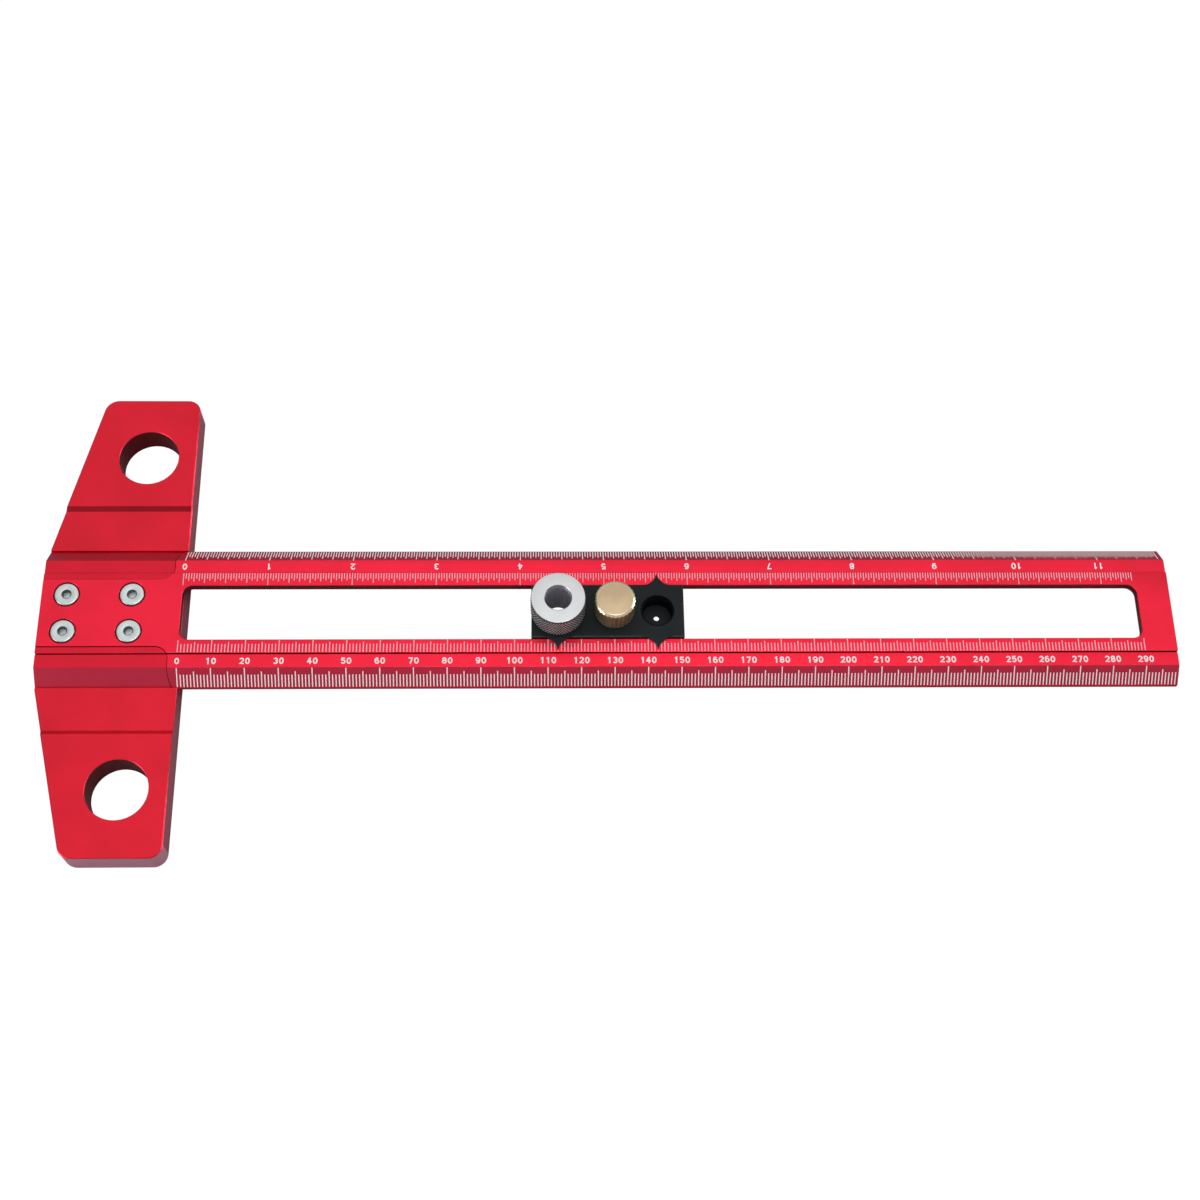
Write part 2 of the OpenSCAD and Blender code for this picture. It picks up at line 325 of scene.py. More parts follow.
def etched(name, through):
    """Laser-etched marks: frosted, near white, with the dye showing through by a share."""
    n = Nodes(name)
    fine = n.noise(0.12, 3, 0.7)
    broad = n.noise(5, 2)
    worn = n.math("MULTIPLY", n.span(fine, 0, 1, 0.45, 0.75), n.span(broad, 0.25, 0.6, 0.3, 0.7))
    share = n.math("ADD", worn, through)
    color = n.blend(share, (0.97, 0.94, 0.94), (0.78, 0.26, 0.38))
    return n.finish(color, n.span(fine, 0.5, 0.75), n.bump(fine, 0.008), metallic=0.0)


def plain_nylon(name):
    n = Nodes(name)
    fine = n.noise(0.2, 2)
    color = n.blend(n.noise(2, 3), (0.62, 0.60, 0.54), (0.48, 0.46, 0.41))
    return n.finish(color, n.span(fine, 0.4, 0.55), n.bump(fine, 0.01), metallic=0.0)


# The reds differ from face to face. The blade's top, the head's top and the milled zone have tones of their
# own.
# The rest is painted light: painted shade on the walls, the far slope and the groove lines, painted shade with
# a painted reflection on the bevels, a painted mauve reflection on the head's sides and ends, and a painted
# highlight on the eased edges.
red_skin = anodised("red_anodise", (0.93, 0.015, 0.050), (0.75, 0.011, 0.036), 1.0, 0.42)
red_head = anodised("red_anodise_head", (0.78, 0.011, 0.034), (0.60, 0.008, 0.023), 1.0, 0.44)
# Painted highlight and wear: the eased edges are lighter in rubbed patches, standing for light caught along
# them.
red_edge_highlight = edge_worn("red_edge_highlight", (0.95, 0.03, 0.065), (0.92, 0.13, 0.18), 1.0, 0.38)
# Painted shade: a dark copy of the red for the slot, finger-hole, counterbore and screw-hole walls.
red_wall_painted_shade = anodised("red_bore_painted_shade", (0.32, 0.004, 0.014), (0.22, 0.003, 0.010), 1.0, 0.4, coat=0.2)
red_milled = anodised("red_milled", (0.74, 0.009, 0.033), (0.60, 0.007, 0.025), 1.0, 0.44)
# Painted shade and painted reflection: a darker, greyer copy of the red for the sloping bevels.
red_bevel_painted_shade_and_reflection = anodised("red_bevel_painted_shade_and_reflection", (0.71, 0.034, 0.082), (0.58, 0.027, 0.066), 1.0, 0.44)
# Painted reflection: a mauve copy of the red for the head's sides, standing for the table they mirror.
red_side_painted_reflection = anodised("red_side_painted_reflection", (0.60, 0.10, 0.16), (0.50, 0.08, 0.13), 0.9, 0.45, coat=0.8)
# Painted reflection: a lighter, pinker copy of the red for the head's two ends.
red_end_painted_reflection = anodised("red_end_painted_reflection", (0.70, 0.27, 0.37), (0.60, 0.21, 0.30), 0.3, 0.45, coat=1.0)
# Painted shade: a dark copy of the red for the head's far slope.
red_slope_painted_shade = anodised("red_slope_painted_shade", (0.42, 0.004, 0.015), (0.32, 0.003, 0.011), 1.0, 0.44)
# Painted shadow: a near-black copy of the red for the groove at the rail's step and the milled zone's edge
# line.
red_painted_shadow_line = anodised("red_painted_shadow_line", (0.14, 0.003, 0.008), (0.09, 0.002, 0.005), 1.0, 0.5, coat=0.0)
black_skin = anodised("black_anodise", (0.010, 0.014, 0.016), (0.006, 0.009, 0.011), 0.0, 0.5, coat=0,
                      specular=0.16)
black_edge = edge_worn("black_edge", (0.014, 0.018, 0.020), (0.032, 0.036, 0.039), 0.0, 0.45)
# Painted shade: a darker, nearly unreflecting copy of the black for the slider's holes and notch.
black_wall_painted_shade = anodised("black_bore_painted_shade", (0.003, 0.004, 0.005), (0.001, 0.002, 0.003), 0.0, 0.5, coat=0,
                      specular=0.05)
white_mark = etched("etched_white", 0.0)
faint_mark = etched("etched_faint", 0.5)
nylon = plain_nylon("nylon")
STEEL, STEEL_DARK = (0.68, 0.74, 0.74), (0.56, 0.61, 0.61)


# ------------------------------------------------------------------ the blade

EASE = 0.15                               # chamfer along the blade's edges
SLOT_HALF, SLOT_END, SLOT_R = 8.8, 290.0, 3.0
RAIL_HALF, STRIP_HALF, EDGE_HALF = 13.1, 17.5, 22.5
RAIL_Z, STRIP_Z, LAND_Z = 6.0, 5.4, 1.1
CHANNEL_HALF, WEB_Z = 11.5, 3.0
RELIEF_HALF, RELIEF_R, RELIEF_X, RELIEF_Z = 10.9, 4.0, -6.8, 5.7
GROOVE, GROOVE_DEPTH = 0.25, 0.5          # the corner line at the foot of the rail's step
MILLED_SKIM, MILLED_R, ZONE_LINE = 0.08, 10.0, 0.2
BACK_X, TIP_X = -42.0, 300.0
SCREW_TOP, SCREW_SEAT, SCREW_R, SHANK_R = 6.1, 4.8, 3.6, 2.0
SCREWS = [centre_mm("blade_screw_%d" % (i + 1)) for i in range(4)]


def blade():
    half = [((CHANNEL_HALF, WEB_Z), 0), ((CHANNEL_HALF, 0), EASE), ((EDGE_HALF, 0), EASE),
            ((EDGE_HALF, LAND_Z), EASE), ((STRIP_HALF, STRIP_Z), EASE), ((RAIL_HALF + GROOVE, STRIP_Z), 0),
            ((RAIL_HALF + GROOVE - 0.02, STRIP_Z - GROOVE_DEPTH), 0), ((RAIL_HALF, STRIP_Z - GROOVE_DEPTH), 0),
            ((RAIL_HALF, RAIL_Z), EASE)]
    points = [p for p, _ in half] + [(-p[0], p[1]) for p, _ in reversed(half)]
    radii = [r for _, r in half] + [r for _, r in reversed(half)]
    outline, corner = eased(points, radii)
    inner = grown(outline, -EASE)
    ends = ((BACK_X, inner), (BACK_X + EASE, outline), (TIP_X - EASE, outline), (TIP_X, inner))
    rings = [[(x, p.x, p.y) for p in ring] for x, ring in ends]
    bm = bmesh.new()
    slots = [EDGE if c else 0 for c in corner]
    for i, point in enumerate(outline):
        step = outline[(i + 1) % len(outline)] - point
        middle = point + step / 2
        # The sloping sides take the bevel's red, with its painted shade and painted reflection.
        if not corner[i] and abs(step.x) > 1 and abs(step.y) > 1:
            slots[i] = BEVEL
        # The groove and the rail's step take the near-black red: a painted shadow line.
        if abs(middle.x) < RAIL_HALF + GROOVE and STRIP_Z - 1 < middle.y < RAIL_Z - EASE:
            slots[i] = EXTRA
    loft(bm, rings, [EDGE, SURFACE, EDGE], slots)
    mesh = to_mesh(bm, "blade")
    return combine(mesh, [slot_tool()] + relief_tools() + [counterbore(s) for s in SCREWS], "DIFFERENCE")


def slot_tool():
    outline = []
    for x, y, start in ((SLOT_END - SLOT_R, SLOT_HALF - SLOT_R, 0), (SLOT_R, SLOT_HALF - SLOT_R, 90),
                        (SLOT_R, SLOT_R - SLOT_HALF, 180), (SLOT_END - SLOT_R, SLOT_R - SLOT_HALF, 270)):
        outline += arc((x, y), SLOT_R, start, start + 90, 12)
    levels = [(WEB_Z - 1, EASE + 1), (WEB_Z + EASE, 0), (RAIL_Z - EASE, 0), (RAIL_Z + 1, EASE + 1)]
    bm = bmesh.new()
    loft(bm, [[(p.x, p.y, z) for p in grown(outline, wide)] for z, wide in levels], [EDGE, WALL, EDGE])
    return to_mesh(bm, "slot")


def zone_edge(inset):
    """The milled zone's edge seen from above, moved into the zone by inset: along the rail, round the cutter's
    radius, straight across the strip, and curving off over the bevel."""
    turn = RELIEF_X + RELIEF_R - inset
    points = [Vector((BACK_X - 1, RELIEF_HALF + inset))]
    points += arc((RELIEF_X, RELIEF_HALF + RELIEF_R), RELIEF_R - inset, -90, 0, 16)
    return points + arc((turn + MILLED_R + inset, STRIP_HALF), MILLED_R + inset, 180, 146, 10)


def relief_tool(side, plan, deeper, slot):
    """The part of the shallow cut beside the screws that lies in plan. It is deepest on the rail and a skim
    on the strip and the bevel, and goes deeper than that by deeper."""
    skim = MILLED_SKIM + deeper
    rail_z = RELIEF_Z - deeper
    slope = Vector((LAND_Z - STRIP_Z, STRIP_HALF - EDGE_HALF)).normalized() * skim
    floor = [(RELIEF_HALF - 1, rail_z), (RAIL_HALF, rail_z), (RAIL_HALF, STRIP_Z - skim),
             (STRIP_HALF - skim / 2, STRIP_Z - skim), (EDGE_HALF + slope.x * 0.6, LAND_Z + slope.y * 1.4),
             (EDGE_HALF + 3, LAND_Z + slope.y - 3 * (STRIP_Z - LAND_Z) / (EDGE_HALF - STRIP_HALF)),
             (EDGE_HALF + 3, RAIL_Z + 1), (RELIEF_HALF - 1, RAIL_Z + 1)]
    bm = bmesh.new()
    loft(bm, [[(p.x, side * p.y, z) for p in plan] for z in (LAND_Z - 2, RAIL_Z + 2)], [slot])
    area = to_mesh(bm, "area")
    bm = bmesh.new()
    slots = [slot] * len(floor)
    # The riser at the rail's edge takes the near-black red: a painted shadow line.
    slots[1] = EXTRA
    # The skim over the bevel keeps the bevel's red, with its painted shade and painted reflection.
    if slot == MILLED:
        slots[3] = BEVEL
    loft(bm, [[(x, side * y, z) for y, z in floor] for x in (BACK_X - 2, 2)], [SURFACE], slots)
    return combine(area, [to_mesh(bm, "floor")], "INTERSECT")


def relief_tools():
    edge, inner = zone_edge(0), zone_edge(ZONE_LINE)
    zone = edge + [Vector((BACK_X - 1, edge[-1].y))]
    line = edge + list(reversed(inner))
    # The thin deeper cut along the zone's edge takes the near-black red: a painted shadow line.
    return [relief_tool(side, plan, deeper, slot) for side in (1, -1)
            for plan, deeper, slot in ((zone, 0, MILLED), (line, 0.22, EXTRA))]


def counterbore(screw):
    rim, hole, seat = SCREW_R + 0.35, SHANK_R + 0.2, SCREW_SEAT - 0.05
    profile = [(0, -1), (hole, -1), (hole, seat), (rim, seat), (rim, RAIL_Z - EASE),
               (rim + EASE + 1, RAIL_Z + 1), (0, RAIL_Z + 1)]
    bm = bmesh.new()
    spun(bm, profile, [WALL, WALL, WALL, WALL, EDGE, WALL], (screw.x, screw.y), 64)
    return to_mesh(bm, "counterbore")


# ------------------------------------------------------------------ the head

HEAD_EASE = 0.3
HEAD_HALF, WAIST_HALF = 75.0, 23.0
TIP_W, FENCE_R, BACK_R = 29.2, 4.0, 4.5
FENCE_Z, WING_Z, SHOULDER_Z, KEY_Z = -6.8, 2.7, 1.7, 2.95
SLOPE_FOOT, SLOPE_TOP = 36.0, 37.4
KEY_HALF = 11.45
TOP_BREAKS = [KEY_HALF + 1, EDGE_HALF - 1, SLOPE_FOOT, SLOPE_TOP]      # |Y| where the head's top changes slope
FINGER_R = 9.2
FINGERS = [(-14.7, 54.4), (-14.7, -54.4)]


def head_top(y):
    """Height of the head's top at y, before the blade's seat is cut."""
    steps = [(0, KEY_Z), (KEY_HALF + 1, KEY_Z), (EDGE_HALF - 1, SHOULDER_Z), (SLOPE_FOOT, SHOULDER_Z),
             (SLOPE_TOP, WING_Z), (HEAD_HALF + 1, WING_Z)]
    for (y0, z0), (y1, z1) in zip(steps, steps[1:]):
        if abs(y) <= y1:
            return z0 + (z1 - z0) * (abs(y) - y0) / (y1 - y0)


def head_outline():
    """Anticlockwise from the middle of the fence, with a point wherever the top changes slope."""
    taper = math.degrees(math.atan((-BACK_X - TIP_W) / (HEAD_HALF - WAIST_HALF)))
    turn = BACK_R * math.tan(math.radians(90 - taper) / 2)
    right = [Vector((0, y)) for y in TOP_BREAKS] + arc((-FENCE_R, HEAD_HALF - FENCE_R), FENCE_R, 0, 90, 12)
    left = arc((-TIP_W + turn, HEAD_HALF - BACK_R), BACK_R, 90, 180 - taper, 12)
    for y in sorted(TOP_BREAKS + [WAIST_HALF], reverse=True):
        left.append(Vector((BACK_X + max(0, y - WAIST_HALF) * math.tan(math.radians(taper)), y)))
    far = right + left
    return far + [Vector((p.x, -p.y)) for p in reversed(far)]


def head():
    outline = head_outline()
    inner = grown(outline, -HEAD_EASE)
    tops = [head_top(p.y) for p in outline]
    rings = [[(p.x, p.y, FENCE_Z) for p in inner],
             [(p.x, p.y, FENCE_Z + HEAD_EASE) for p in outline],
             [(p.x, p.y, z - HEAD_EASE) for p, z in zip(outline, tops)],
             [(p.x, p.y, z) for p, z in zip(inner, tops)]]
    bm = bmesh.new()
    # The sides take the mauve red, a painted reflection.
    rows = loft(bm, rings, [EDGE, MILLED, EDGE], caps=(True, False))
    # The two ends take a lighter, pinker red than the other sides: painted reflection.
    for face in bm.faces:
        if face.material_index == MILLED and abs(face.calc_center_median().y) > HEAD_HALF - BACK_R:
            face.material_index = EXTRA
    cuts = [-HEAD_HALF - 1] + sorted(s * y for s in (-1, 1) for y in TOP_BREAKS) + [HEAD_HALF + 1]
    for low, high in zip(cuts, cuts[1:]):
        top = bm.faces.new([v for v, p in zip(rows[-1], outline) if low - 0.001 <= p.y <= high + 0.001])
        # The far slope alone takes the dark red: painted shade.
        if low == SLOPE_FOOT:
            top.material_index = BEVEL
    tools = [finger_tool(x, y) for x, y in FINGERS]
    for side in (-1, 1):
        near, far = sorted((side * KEY_HALF, side * (EDGE_HALF + 0.05)))
        seat = bmesh.new()
        block(seat, (BACK_X - 1, near, 0), (1, far, KEY_Z + 2), EDGE)
        tools.append(to_mesh(seat, "seat"))
    for screw in SCREWS:
        hole = bmesh.new()
        r, foot = SHANK_R + 0.05, -4.0
        spun(hole, [(0, foot), (r, foot + 0.4), (r, KEY_Z + 1), (0, KEY_Z + 1)], [WALL] * 3,
             (screw.x, screw.y), 32)
        tools.append(to_mesh(hole, "thread_hole"))
    return combine(to_mesh(bm, "head"), tools, "DIFFERENCE")


def finger_tool(x, y):
    over = 1
    wide = FINGER_R + EASE + over
    profile = [(0, FENCE_Z - over), (wide, FENCE_Z - over), (FINGER_R, FENCE_Z + EASE),
               (FINGER_R, WING_Z - EASE), (wide, WING_Z + over), (0, WING_Z + over)]
    bm = bmesh.new()
    spun(bm, profile, [WALL, EDGE, WALL, EDGE, WALL], (x, y), 120)
    return to_mesh(bm, "finger")


# ------------------------------------------------------------------ the blade screws

def screw(place):
    """A thin-head screw, its rim rounded over and its socket countersunk."""
    low, top, r, end = SCREW_SEAT, SCREW_TOP, SCREW_R, -1.9
    round_r, point = 0.35, 0.4
    rim = [(p.x, p.y) for p in arc((r - round_r, top - round_r), round_r, 0, 90, 4)]
    profile = [(0, end), (SHANK_R - point, end), (SHANK_R, end + point), (SHANK_R, low), (r - 0.1, low),
               (r, low + 0.1)] + rim + [(0, top)]
    slots = [SURFACE] * 6 + [EDGE] * 4 + [SURFACE]
    bm = bmesh.new()
    spun(bm, profile, slots, (place.x, place.y), 72)
    body = to_mesh(bm, "screw")
    socket = bmesh.new()
    key = 2.5                                               # across the hexagon's flats
    across = key / math.cos(math.radians(30)) / 2
    corners = arc((place.x, place.y), across, 15, 315, 5)
    loft(socket, [[(p.x, p.y, z) for p in corners] for z in (top - 1.6, top + 1)], [WALL])
    dish = bmesh.new()
    spun(dish, [(0, top - 0.6), (across + 0.08, top), (across + 0.58, top + 0.42), (0, top + 0.42)],
         [WALL, WALL, WALL], (place.x, place.y), 48)
    return combine(body, [to_mesh(dish, "dish"), to_mesh(socket, "socket")], "DIFFERENCE")


# ------------------------------------------------------------------ the slider

SLIDER_LOW, SLIDER_HIGH = box_mm("slider_body")
SLIDER_TOP = SLIDER_HIGH.z
SLIDER_HALF, SLIDER_EDGE, FOOT_Z = 8.65, 0.35, 0.15
GUIDE_X, KNOB_X = centre_mm("guide_collar").x, centre_mm("lock_knob").x
SPARE_X = SLIDER_HIGH.x - (GUIDE_X - SLIDER_LOW.x)
POINTER_REACH, FLANK_R, TIP_RISE = 12.6, 5.0, 0.25
HOLE_R, HOLE_ROOT_R, GUIDE_PITCH = 4.95, 4.5, 1.0         # the two tapped holes
STUD_HOLE_R, WASHER_SEAT_R, WASHER_SEAT = 2.1, 4.45, 0.5
PILOT_R, PILOT_WEB = 0.85, 0.8                            # the small hole in the spare hole's floor
NOTCH_HALF = 6.4                                          # the clamp plate's notch, along the slot


def pointer(x, side):
    """One hollow-flanked pointer, its top falling to a thin tip, from inside the slider outwards."""
    root = SLIDER_HALF - SLIDER_EDGE
    reach = POINTER_REACH - root
    half = math.sqrt(FLANK_R ** 2 - (FLANK_R - reach) ** 2)
    rings = []
    ease, steps = 0.12, 16
    for step in range(-1, steps + 1):
        out = max(0.0, step / steps) ** 0.8 * (reach - 0.05)
        y = root + out if step >= 0 else root - 2
        width = half - math.sqrt(max(0, FLANK_R ** 2 - (FLANK_R - out) ** 2)) + 0.06
        share = max(0, y - SLIDER_HALF) / (POINTER_REACH - SLIDER_HALF)
        top = SLIDER_TOP - share * (SLIDER_TOP - RAIL_Z - TIP_RISE)
        lip = min(ease, width * 0.5)
        low = RAIL_Z + 0.05
        rings.append([(x - side * width, side * y, low), (x + side * width, side * y, low),
                      (x + side * width, side * y, top - lip), (x + side * (width - lip), side * y, top),
                      (x - side * (width - lip), side * y, top), (x - side * width, side * y, top - lip)])
    bm = bmesh.new()
    loft(bm, rings, [SURFACE] * (len(rings) - 1), [0, 0, EDGE, 0, EDGE, 0])
    return to_mesh(bm, "pointer")


def slider():
    w, c = SLIDER_HALF, 0.15
    corners = [(-w, FOOT_Z), (w, FOOT_Z), (w, SLIDER_TOP), (-w, SLIDER_TOP)]
    outline, corner = eased(corners, [c, c, SLIDER_EDGE, SLIDER_EDGE], 3)
    inner = grown(outline, -c)
    x0, x1 = SLIDER_LOW.x, SLIDER_HIGH.x
    rings = [[(x, p.x, p.y) for p in ring]
             for x, ring in ((x0, inner), (x0 + c, outline), (x1 - c, outline), (x1, inner))]
    bm = bmesh.new()
    loft(bm, rings, [EDGE, SURFACE, EDGE], [EDGE if e else 0 for e in corner])
    pointers = [pointer(x, side) for x in (GUIDE_X, SPARE_X) for side in (-1, 1)]
    body = combine(to_mesh(bm, "slider"), pointers, "UNION")
    notch = bmesh.new()
    block(notch, (KNOB_X - NOTCH_HALF, -w - 1, -1), (KNOB_X + NOTCH_HALF, w + 1, WEB_Z + 0.8))
    tools = [to_mesh(notch, "notch")]
    top, over, rim, fine = SLIDER_TOP, 1, 0.25, 0.1
    seat, r = top - WASHER_SEAT, WASHER_SEAT_R
    holes = [
        (GUIDE_X, [(0, -over), (HOLE_R, -over), (HOLE_R, top - rim), (HOLE_R + rim + over, top + over),
                   (0, top + over)], [WALL, WALL, EDGE, WALL]),
        (KNOB_X, [(0, 0), (STUD_HOLE_R, 0), (STUD_HOLE_R, seat), (r, seat), (r, top - fine),
                  (r + fine + over, top + over), (0, top + over)], [WALL, WALL, WALL, WALL, EDGE, WALL]),
        (SPARE_X, [(0, -over), (PILOT_R, -over), (PILOT_R, 2.2), (0, 2.2)], [WALL] * 3)]
    for x, profile, slots in holes:
        hole = bmesh.new()
        spun(hole, profile, slots, (x, 0), 96)
        tools.append(to_mesh(hole, "hole"))
    tools.append(tapped_hole())
    return combine(body, tools, "DIFFERENCE")


def threaded(bm, centre, crest, root, z0, z1, pitch, steps=64, per_turn=6, least=lambda z: 0):
    """A closed rod with a V thread on it, for a screw or as the tool that taps a hole. Its two ends run out
    to the root radius. least(z) is a radius that the rod never falls below."""
    rows = []
    levels = int(round((z1 - z0) / pitch * per_turn))
    for level in range(levels + 1):
        z = z0 + (z1 - z0) * level / levels
        fade = min(1, level / per_turn, (levels - level) / per_turn)
        ring = []
        for i in range(steps):
            turn = i / steps
            wave = abs(((z - z0) / pitch - turn) % 1 - 0.5) * 2
            r = max(least(z), root + (crest - root) * fade * min(1, max(0, wave * 1.35 - 0.15)))
            angle = 2 * math.pi * turn
            ring.append((centre[0] + r * math.cos(angle), centre[1] + r * math.sin(angle), z))
        rows.append(ring)
    loft(bm, rows, [WALL] * levels)


def tapped_hole():
    """The tool for the spare hole: its thread, opening into a flare at the mouth."""
    def flare(z):
        return HOLE_ROOT_R + z - SLIDER_TOP + 0.6

    bm = bmesh.new()
    threaded(bm, (SPARE_X, 0), HOLE_R, HOLE_ROOT_R, FOOT_Z + PILOT_WEB, SLIDER_TOP + 0.5, GUIDE_PITCH,
             least=flare)
    return to_mesh(bm, "tap")


def clamp_plate():
    low, high = box_mm("clamp_plate")
    c, corner_r, hole_r = 0.25, 1.2, 2.05
    square = [(low.x, low.y), (high.x, low.y), (high.x, high.y), (low.x, high.y)]
    outline, _ = eased(square, [corner_r] * 4, 5)
    inner = grown(outline, -c)
    bm = bmesh.new()
    loft(bm, [[(p.x, p.y, z) for p in ring]
              for z, ring in ((low.z, inner), (low.z + c, outline), (high.z - c, outline), (high.z, inner))],
         [EDGE, SURFACE, EDGE])
    hole = bmesh.new()
    flare = hole_r + 1.2
    spun(hole, [(0, low.z - 1), (flare, low.z - 1), (hole_r, low.z + 0.2), (hole_r, high.z - 0.2),
                (flare, high.z + 1), (0, high.z + 1)], [WALL, EDGE, WALL, EDGE, WALL], (KNOB_X, 0), 48)
    return combine(to_mesh(bm, "plate"), [to_mesh(hole, "hole")], "DIFFERENCE")


# ------------------------------------------------------------------ the lock knob

KNOB_LOW, KNOB_HIGH = box_mm("lock_knob")
KNOB_R = (KNOB_HIGH.x - KNOB_LOW.x) / 2
STUD_R, STUD_SOCKET, STUD_PITCH = 2.0, 6.0, 0.7


def lock_knob():
    """V flutes between a turned foot and a rounded crown, with a flat turned top."""
    teeth, steps, depth = 30, 8, 0.24
    crown_w, crown_h, foot_w = 0.9, 0.7, 0.5
    crown_r, foot_r = KNOB_R - crown_w, KNOB_R - foot_w
    low, top = KNOB_LOW.z, KNOB_HIGH.z
    count = teeth * steps

    def side(i):
        """Radius of the flutes at step i: a V between sharp ridges."""
        return KNOB_R - depth * abs((i % steps) / steps - 0.5) * 2

    def crown_z(radius):
        """Height of the crown where its curve reaches a radius."""
        share = min(1, max(0, (radius - crown_r) / crown_w))
        return top - crown_h * share ** 1.4

    def ring(radius_and_height):
        points = []
        for i in range(count):
            radius, z = radius_and_height(side(i))
            angle = 2 * math.pi * i / count
            points.append((KNOB_X + radius * math.cos(angle), radius * math.sin(angle), z))
        return points

    shares = [0.92, 0.8, 0.65, 0.5, 0.35, 0.2, 0.08]
    rings = [ring(lambda r: (foot_r, low)),
             ring(lambda r: (r, low + max(0.05, foot_w + r - KNOB_R))),
             ring(lambda r: (r, crown_z(r)))]
    for share in shares:
        radius = crown_r + crown_w * share
        rings.append(ring(lambda r, a=radius: (min(a, r - 0.01 * (1 - share)), crown_z(min(a, r)))))
    rings.append(ring(lambda r: (crown_r, top)))
    bm = bmesh.new()
    # The foot and the crown take a lighter brass, a painted highlight; the flutes a darker brass, painted
    # shade.
    loft(bm, rings, [EDGE, WALL] + [EDGE] * (len(shares) + 1))
    bore = bmesh.new()
    spun(bore, [(0, low - 1), (STUD_R, low - 1), (STUD_R, low + STUD_SOCKET), (0, low + STUD_SOCKET)],
         [WALL] * 3, (KNOB_X, 0), 48)
    return combine(to_mesh(bm, "knob"), [to_mesh(bore, "bore")], "DIFFERENCE")


def lock_stud():
    low, high = box_mm("lock_stud")
    bm = bmesh.new()
    threaded(bm, (KNOB_X, 0), STUD_R - 0.02, 1.62, low.z, high.z, STUD_PITCH, 48)
    return to_mesh(bm, "stud")


def washer():
    low, high = box_mm("knob_washer")
    r, c = (high.x - low.x) / 2, 0.1
    bm = bmesh.new()
    spun(bm, [(STUD_HOLE_R, low.z), (r, low.z), (r, high.z - c), (r - c, high.z), (STUD_HOLE_R + c, high.z),
              (STUD_HOLE_R, high.z - c)], [SURFACE] * 6, (KNOB_X, 0), 72)
    return to_mesh(bm, "washer")


# ------------------------------------------------------------------ the drill guide

COLLAR_LOW, COLLAR_HIGH = box_mm("guide_collar")
COLLAR_R = (COLLAR_HIGH.x - COLLAR_LOW.x) / 2
BORE_R, MOUTH_R = 3.9, 4.15
LINER_R, LINER_ROOT_R = 4.9, 4.45


def guide_collar():
    """A sleeve with a diamond knurl. The knurl starts as a lattice at the grooves' depth. Every second point
    of it is a groove crossing, and round each of the others a diamond stands up. land is the size of the
    diamond's flat top beside its foot."""
    around, rows, depth, land = 120, 10, 0.30, 0.5
    low, top = COLLAR_LOW.z, COLLAR_HIGH.z
    knurl_low, knurl_high = low + 0.4, top - 0.4
    r = COLLAR_R
    bm = bmesh.new()

    def place(radius, i, z):
        angle = 2 * math.pi * i / around
        return Vector((GUIDE_X + radius * math.cos(angle), radius * math.sin(angle), z))

    def ring(radius, z):
        return [bm.verts.new(place(radius, i, z)) for i in range(around)]

    def join(first, second, slot):
        for i in range(around):
            j = (i + 1) % around
            bm.faces.new((first[i], first[j], second[j], second[i])).material_index = slot

    seat_r, lip = LINER_R + 0.05, 1.0
    inside = [(seat_r, low + 0.2), (seat_r, top - lip), (BORE_R, top - lip), (BORE_R, top - 0.5)]
    mouth = [((BORE_R + MOUTH_R) / 2 - 0.05, top - 0.18), (MOUTH_R, top)]
    crown = [(r - 0.34, top), (r - 0.22, top - 0.05), (r - 0.16, top - 0.16)]
    foot_ring = [(r - 0.5, low), (LINER_R + 0.25, low)]
    lattice = [ring(r - depth, knurl_low + (knurl_high - knurl_low) * row / rows) for row in range(rows + 1)]
    for row in range(rows + 1):
        for i in range(row % 2, around, 2):
            middle = lattice[row][i]
            left, right = lattice[row][i - 1], lattice[row][(i + 1) % around]
            if row == 0:
                faces = [(left, middle, lattice[1][i]), (middle, right, lattice[1][i])]
            elif row == rows:
                below = lattice[row - 1][i]
                faces = [(left, below, middle), (middle, below, right)]
            else:
                foot = [left, lattice[row - 1][i], right, lattice[row + 1][i]]
                raised = place(r, i, middle.co.z)
                flat = [bm.verts.new(raised + (v.co - middle.co) * land) for v in foot]
                bm.verts.remove(middle)
                bm.faces.new(flat).material_index = WALL
                faces = [(foot[k], foot[(k + 1) % 4], flat[(k + 1) % 4], flat[k]) for k in range(4)]
            for face in faces:
                # The diamonds' sloping faces take the near-black collar material: painted shade in the knurl's
                # grooves.
                bm.faces.new(face).material_index = MILLED
    chain = [lattice[-1]]
    for profile in (crown, mouth, inside, foot_ring):
        chain += [ring(*p) for p in reversed(profile)]
    chain.append(lattice[0])
    slots = [EDGE, EDGE, EDGE, SURFACE, EDGE, EDGE, SURFACE, SURFACE, SURFACE, EDGE, SURFACE, EDGE]
    for (first, second), slot in zip(zip(chain, chain[1:]), slots):
        join(first, second, slot)
    return to_mesh(bm, "collar")


def guide_liner():
    """A steel sleeve with a fine thread outside and a ground bore."""
    low, high = box_mm("guide_liner")
    bm = bmesh.new()
    threaded(bm, (GUIDE_X, 0), LINER_R, LINER_ROOT_R, low.z, high.z, GUIDE_PITCH, 96)
    body = to_mesh(bm, "liner")
    bore = bmesh.new()
    edge = 0.2
    flare = BORE_R + edge + 1
    spun(bore, [(0, low.z - 1), (flare, low.z - 1), (BORE_R, low.z + edge), (BORE_R, high.z - edge),
                (flare, high.z + 1), (0, high.z + 1)],
         [SURFACE, EDGE, SURFACE, EDGE, SURFACE], (GUIDE_X, 0), 96)
    return combine(body, [to_mesh(bore, "bore")], "DIFFERENCE")


# ------------------------------------------------------------------ the two scales

